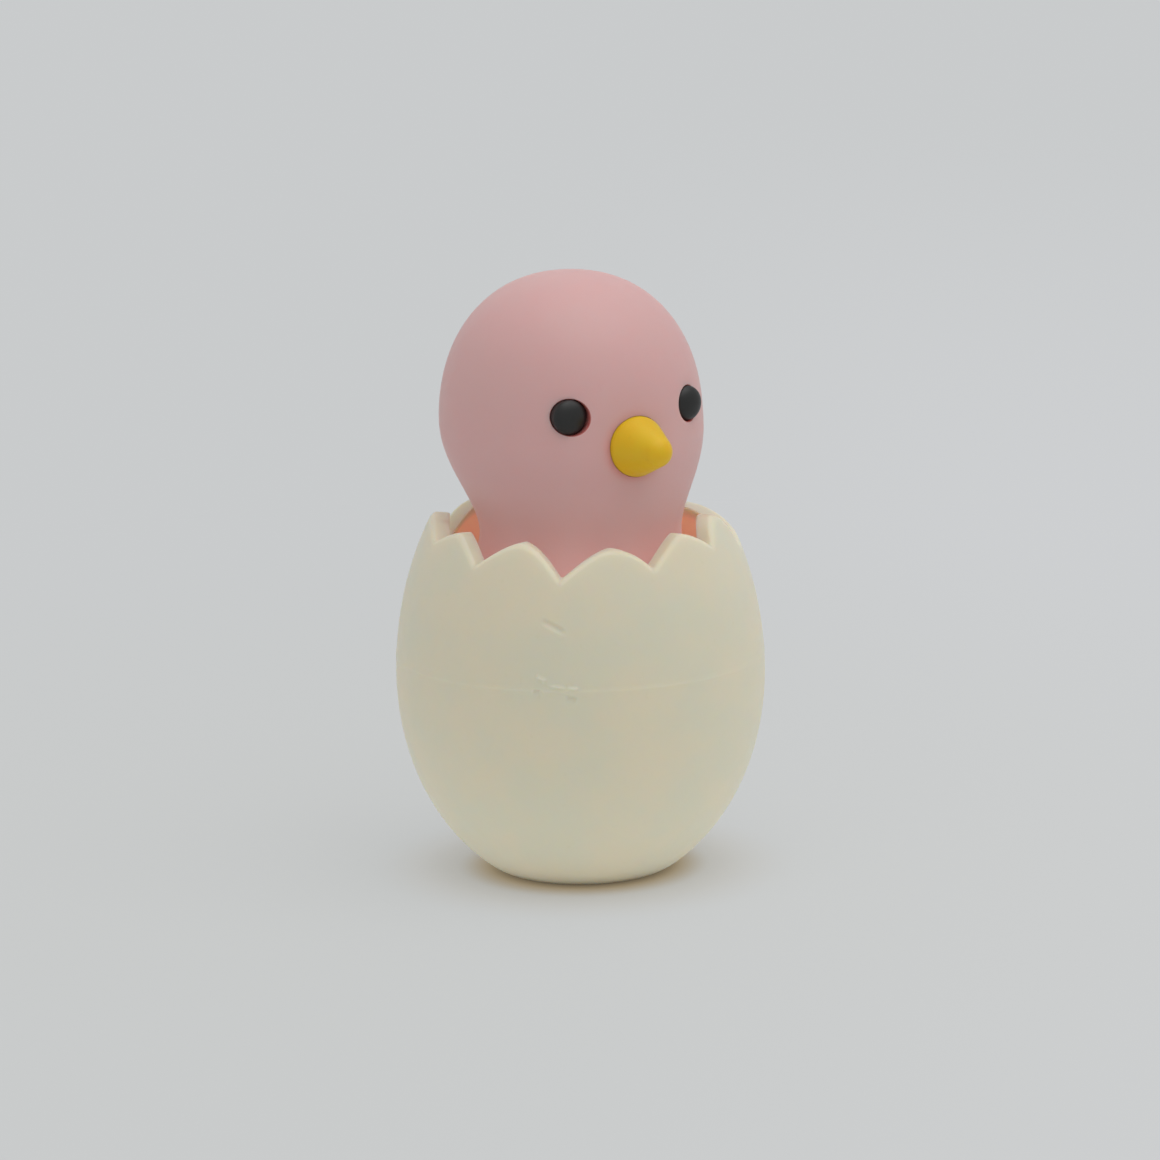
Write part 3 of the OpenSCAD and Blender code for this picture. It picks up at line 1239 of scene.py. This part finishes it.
@dataclass
class Studio:
    """Camera, floor, backdrop and lamp. Lengths are in millimetres.

    The zones of the floor go outwards from the foot: how much of it fades into
    the backdrop, where it lights the object from below, and where it is clear
    of the painted warm shade at the contact. The painted brightening, a pool of
    painted light on the backdrop, goes to the camera's right, as far out as
    its reach.
    """

    azimuth: float = -31.5
    elevation: float = 12.0
    roll: float = -0.9
    distance: float = 350.0
    target: tuple[float, float, float] = (0.0495, -0.0303, 21.307)
    lens: float = 148.77
    shift_up: float = 0.0013
    ambient: float = 0.64
    backdrop: Colour = (0.789, 0.797, 0.801)
    # Painted light: the backdrop goes to this lighter colour on the camera's right, the lamp's
    # side.
    painted_lit_side: Colour = (0.806, 0.813, 0.82)
    floor_colour: Colour = (0.79, 0.797, 0.785)
    # Painted shade: the warm dark colour of the floor and its glow round the foot.
    painted_contact_shade: Colour = (0.71, 0.645, 0.53)
    floor_radius: float = 4000.0
    fade: tuple[Zone, ...] = (
        Zone(6.0, 7.4, 0.27, 0.5), Zone(7.5, 13.0, 0.0, 0.2), Zone(30.0, 140.0, 0.0, 0.3),
    )
    uplight: tuple[Zone, ...] = (Zone(6.0, 8.5, 0.0, 1.0), Zone(30.0, 80.0, 0.35, 0.0))
    clearing: tuple[Zone, ...] = (Zone(6.5, 9.5, 0.0, 0.83), Zone(9.5, 16.0, 0.0, 0.17))
    painted_brightening: Zone = Zone(-20.0, 50.0, 0.0, 1.0)
    bright_reach: Zone = Zone(100.0, 500.0, 1.0, 0.0)
    lamp: SoftBox = SoftBox("key_softbox", 52, 72, 700, 800, 2.7)

    def direction(self, azimuth: float, elevation: float) -> Vector:
        """Returns the unit vector from the object towards an azimuth and elevation."""
        a, e = math.radians(azimuth), math.radians(elevation)
        return Vector((math.sin(a) * math.cos(e), -math.cos(a) * math.cos(e), math.sin(e)))

    def add_camera(self) -> None:
        """Adds the camera at the photograph's place."""
        data = bpy.data.cameras.new("photo_camera")
        data.lens = self.lens
        data.shift_y = self.shift_up
        data.clip_start = 0.01
        data.clip_end = 20.0
        back = self.direction(self.azimuth, self.elevation)
        a, roll = math.radians(self.azimuth), math.radians(self.roll)
        right = Vector((math.cos(a), math.sin(a), 0))
        up = back.cross(right)
        across = right * math.cos(roll) + up * math.sin(roll)
        over = up * math.cos(roll) - right * math.sin(roll)
        place = (Vector(self.target) + back * self.distance) * MM
        turned = Matrix((across, over, back)).transposed().to_4x4()
        camera = show("photo_camera", data)
        camera.matrix_world = Matrix.Translation(place) @ turned
        bpy.context.scene.camera = camera

    def add_lamp(self) -> None:
        """Adds the soft box."""
        box = self.lamp
        data = bpy.data.lights.new(box.name, "AREA")
        data.shape = "SQUARE"
        data.size = box.size * MM
        data.energy = box.power
        way = self.direction(self.azimuth + box.azimuth, box.elevation)
        turned = way.to_track_quat("Z", "Y").to_matrix().to_4x4()
        place = (Vector(self.target) + way * box.distance) * MM
        show(box.name, data).matrix_world = Matrix.Translation(place) @ turned

    def add_world(self) -> None:
        """Adds the even light of the room, and the backdrop that the camera sees."""
        world = bpy.data.worlds.new("pale_room")
        world.use_nodes = True
        bpy.context.scene.world = world
        bench = NodeBench(world.node_tree)
        light = bench.add("ShaderNodeBackground", {
            "Color": linear((1.0, 1.0, 1.0)), "Strength": self.ambient,
        })
        seen = bench.add("ShaderNodeBackground", {"Color": linear(self.backdrop), "Strength": 1.0})
        both = bench.add("ShaderNodeMixShader", {
            0: self.looking(bench), 1: light.outputs[0], 2: seen.outputs[0],
        })
        bench.add("ShaderNodeOutputWorld", {"Surface": both.outputs[0]})

    def looking(self, bench: NodeBench) -> bpy.types.NodeSocket:
        """Masks the rays that look at a thing: straight, mirrored or bent.

        Args:
            bench: Where the nodes go.

        Returns:
            The mask.
        """
        path = bench.add("ShaderNodeLightPath").outputs
        rays = (path[f"Is {kind} Ray"] for kind in ("Camera", "Glossy", "Transmission"))
        return bench.maths("MAXIMUM", *rays)

    def floor_material(self) -> bpy.types.Material:
        """Builds the pale floor, which keeps the shadow and fades into the backdrop.

        Returns:
            The material.
        """
        material = bpy.data.materials.new("pale_floor")
        material.use_nodes = True
        material.cycles.emission_sampling = "NONE"
        bench = NodeBench(material.node_tree)
        where = bench.add("ShaderNodeTexCoord").outputs["Object"]
        distance = bench.add(
            "ShaderNodeVectorMath", {0: where}, operation="LENGTH"
        ).outputs["Value"]
        turn = math.radians(self.azimuth)
        right = bench.add("ShaderNodeVectorMath", {
            0: where, 1: (math.cos(turn), math.sin(turn), 0.0),
        }, operation="DOT_PRODUCT").outputs["Value"]
        seen = self.looking(bench)
        fade = bench.maths("ADD", *(zone.on(bench, distance) for zone in self.fade))
        lift = bench.maths(
            "MULTIPLY", bench.maths("SUBTRACT", 1.0, seen),
            *(zone.on(bench, distance) for zone in self.uplight),
        )
        # Painted shade: near the foot the floor's colour and glow go to the warm contact shade.
        clear = bench.maths("ADD", *(zone.on(bench, distance) for zone in self.clearing))
        # Painted light on the backdrop, lighter towards the camera's right.
        side = bench.maths(
            "MULTIPLY", self.painted_brightening.on(bench, right), self.bright_reach.on(bench, distance)
        )
        glow_colour = bench.mix(side, self.backdrop, self.painted_lit_side)
        bump = bench.add("ShaderNodeBump", {
            "Distance": 0.01 * MM, "Height": bench.noise(where, 700.0, 3.0),
        })
        matt = bench.add("ShaderNodeBsdfPrincipled", {
            "Base Color": bench.mix(clear, self.painted_contact_shade, self.floor_colour),
            "Roughness": 0.8, "Specular IOR Level": 0.1, "Normal": bump.outputs["Normal"],
        })
        glow = bench.add("ShaderNodeEmission", {
            "Color": bench.mix(clear, self.painted_contact_shade, glow_colour),
        })
        both = bench.add("ShaderNodeMixShader", {
            0: bench.maths("MULTIPLY", fade, seen), 1: matt.outputs[0], 2: glow.outputs[0],
        })
        lifted = bench.add("ShaderNodeEmission", {"Strength": lift})
        total = bench.add("ShaderNodeAddShader", {0: both.outputs[0], 1: lifted.outputs[0]})
        bench.add("ShaderNodeOutputMaterial", {"Surface": total.outputs[0]})
        return material

    def add_floor(self) -> None:
        """Adds the round floor that the eraser stands on."""
        mesh = bmesh.new()
        bmesh.ops.create_circle(mesh, cap_ends=True, segments=96, radius=self.floor_radius * MM)
        data = bpy.data.meshes.new("floor")
        mesh.to_mesh(data)
        mesh.free()
        data.materials.append(self.floor_material())
        show("floor", data)

    def build(self) -> None:
        """Sets up the whole studio."""
        bpy.context.scene.view_settings.view_transform = "Standard"
        self.add_camera()
        self.add_world()
        self.add_lamp()
        self.add_floor()
        LOG.info("studio: camera, room, %s and floor", self.lamp.name)


def main() -> None:
    """Builds the studio and every piece of the eraser."""
    logging.basicConfig(level=logging.INFO, format="%(name)s: %(message)s")
    Studio().build()
    skin = rubber_skin_group()
    cup = ShellCup()
    cup.build(IVORY.build(skin))
    chick = Chick(cup=cup)
    chick.build(PINK.build(skin))
    Beak("beak_plug", "beak", YELLOW.slot, chick.beak_socket).build(YELLOW.build(skin))
    black = BLACK.build(skin)
    for side, socket in chick.eye_sockets.items():
        word = side.name.lower()
        Eye(f"eye_plug_{word}", f"{word}_eye", BLACK.slot, socket).build(black)


if __name__ == "__main__":
    main()
